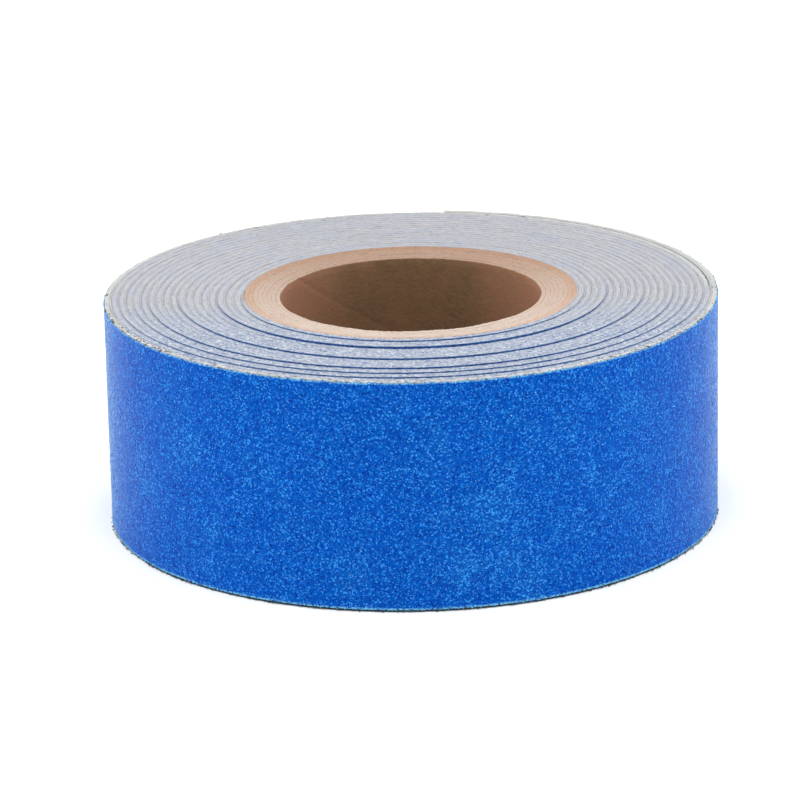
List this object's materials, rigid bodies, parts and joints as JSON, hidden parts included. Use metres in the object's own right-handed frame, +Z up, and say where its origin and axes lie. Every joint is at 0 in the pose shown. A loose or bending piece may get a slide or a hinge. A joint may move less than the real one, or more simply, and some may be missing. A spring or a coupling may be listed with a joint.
{
  "type": "grip tape roll",
  "caption": "Roll of blue grained grip tape wound face out on a spiral-wound paperboard core; its free end unwinds from the roll, and the end lifts off with its release liner",
  "frame": {"origin": "on the axis of the core, at the bottom end face of the tape", "axes": "+Z is up along the core's axis; -Y is the side away from the free end; the free end leaves the roll at +X and lies over the +Y side"},
  "size_m": [0.0682, 0.0684, 0.0254],
  "materials": {
    "grip_coat": "matte",
    "tape_backing": "matte",
    "adhesive_film": "satin",
    "liner_paper": "satin",
    "core_bore_paper": "matte",
    "core_board": "matte",
    "core_outer_paper": "matte"
  },
  "bodies": {
    "roll": {"core_inner_ply": "core_bore_paper", "core_ply_2": "core_board", "core_ply_3": "core_board", "core_ply_4": "core_board", "core_ply_5": "core_board", "core_ply_6": "core_board", "core_ply_7": "core_board", "core_outer_ply": "core_outer_paper", "wound_release_liner": "liner_paper", "wound_adhesive": "adhesive_film", "wound_backing": "tape_backing", "wound_grip_coat": "grip_coat"},
    "tail_stretch_1": {"tail_1_release_liner": "liner_paper", "tail_1_adhesive": "adhesive_film", "tail_1_backing": "tape_backing", "tail_1_grip_coat": "grip_coat"},
    "tail_stretch_2": {"tail_2_release_liner": "liner_paper", "tail_2_adhesive": "adhesive_film", "tail_2_backing": "tape_backing", "tail_2_grip_coat": "grip_coat"},
    "tail_stretch_3": {"tail_3_release_liner": "liner_paper", "tail_3_adhesive": "adhesive_film", "tail_3_backing": "tape_backing", "tail_3_grip_coat": "grip_coat"},
    "tail_stretch_4": {"tail_4_release_liner": "liner_paper", "tail_4_adhesive": "adhesive_film", "tail_4_backing": "tape_backing", "tail_4_grip_coat": "grip_coat"},
    "tail_stretch_5": {"tail_5_release_liner": "liner_paper", "tail_5_adhesive": "adhesive_film", "tail_5_backing": "tape_backing", "tail_5_grip_coat": "grip_coat"},
    "tail_stretch_6": {"tail_6_release_liner": "liner_paper", "tail_6_adhesive": "adhesive_film", "tail_6_backing": "tape_backing", "tail_6_grip_coat": "grip_coat"},
    "tail_stretch_7": {"tail_7_release_liner": "liner_paper", "tail_7_adhesive": "adhesive_film", "tail_7_backing": "tape_backing", "tail_7_grip_coat": "grip_coat"},
    "tail_stretch_8": {"tail_8_release_liner": "liner_paper", "tail_8_adhesive": "adhesive_film", "tail_8_backing": "tape_backing", "tail_8_grip_coat": "grip_coat"},
    "tape_tip": {"tip_adhesive": "adhesive_film", "tip_backing": "tape_backing", "tip_grip_coat": "grip_coat"},
    "liner_end": {"tip_release_liner": "liner_paper"}
  },
  "joints": [
    {"name": "tail_unwind", "type": "hinge", "parent": "roll", "child": "tail_stretch_1", "pos_m": [0.0341, 0.00241, 0.0127], "axis": [0, 0, -1], "range_deg": [0, 11]},
    {"name": "tail_bend_2", "type": "hinge", "parent": "tail_stretch_1", "child": "tail_stretch_2", "pos_m": [0.03336, 0.00749, 0.0127], "axis": [0, 0, -1], "range_deg": [0, 11]},
    {"name": "tail_bend_3", "type": "hinge", "parent": "tail_stretch_2", "child": "tail_stretch_3", "pos_m": [0.03188, 0.0124, 0.0127], "axis": [0, 0, -1], "range_deg": [0, 11]},
    {"name": "tail_bend_4", "type": "hinge", "parent": "tail_stretch_3", "child": "tail_stretch_4", "pos_m": [0.0297, 0.01703, 0.0127], "axis": [0, 0, -1], "range_deg": [0, 11]},
    {"name": "tail_bend_5", "type": "hinge", "parent": "tail_stretch_4", "child": "tail_stretch_5", "pos_m": [0.02685, 0.0213, 0.0127], "axis": [0, 0, -1], "range_deg": [0, 11]},
    {"name": "tail_bend_6", "type": "hinge", "parent": "tail_stretch_5", "child": "tail_stretch_6", "pos_m": [0.0234, 0.02509, 0.0127], "axis": [0, 0, -1], "range_deg": [0, 11]},
    {"name": "tail_bend_7", "type": "hinge", "parent": "tail_stretch_6", "child": "tail_stretch_7", "pos_m": [0.01943, 0.02833, 0.0127], "axis": [0, 0, -1], "range_deg": [0, 11]},
    {"name": "tail_bend_8", "type": "hinge", "parent": "tail_stretch_7", "child": "tail_stretch_8", "pos_m": [0.01502, 0.03096, 0.0127], "axis": [0, 0, -1], "range_deg": [0, 11]},
    {"name": "tip_lift", "type": "hinge", "parent": "tail_stretch_8", "child": "tape_tip", "pos_m": [0.01028, 0.0329, 0.0127], "axis": [0, 0, -1], "range_deg": [0, 60]},
    {"name": "liner_peel", "type": "hinge", "parent": "tail_stretch_8", "child": "liner_end", "pos_m": [0.01007, 0.03225, 0.0127], "axis": [0, 0, -1], "range_deg": [0, 27]}
  ],
  "couplings": [
    {"joint": "tail_bend_2", "follows": "tail_unwind", "ratio": 1},
    {"joint": "tail_bend_3", "follows": "tail_unwind", "ratio": 1},
    {"joint": "tail_bend_4", "follows": "tail_unwind", "ratio": 1},
    {"joint": "tail_bend_5", "follows": "tail_unwind", "ratio": 1},
    {"joint": "tail_bend_6", "follows": "tail_unwind", "ratio": 1},
    {"joint": "tail_bend_7", "follows": "tail_unwind", "ratio": 1},
    {"joint": "tail_bend_8", "follows": "tail_unwind", "ratio": 1},
    {"joint": "liner_peel", "follows": "tip_lift", "ratio": 0.45}
  ]
}
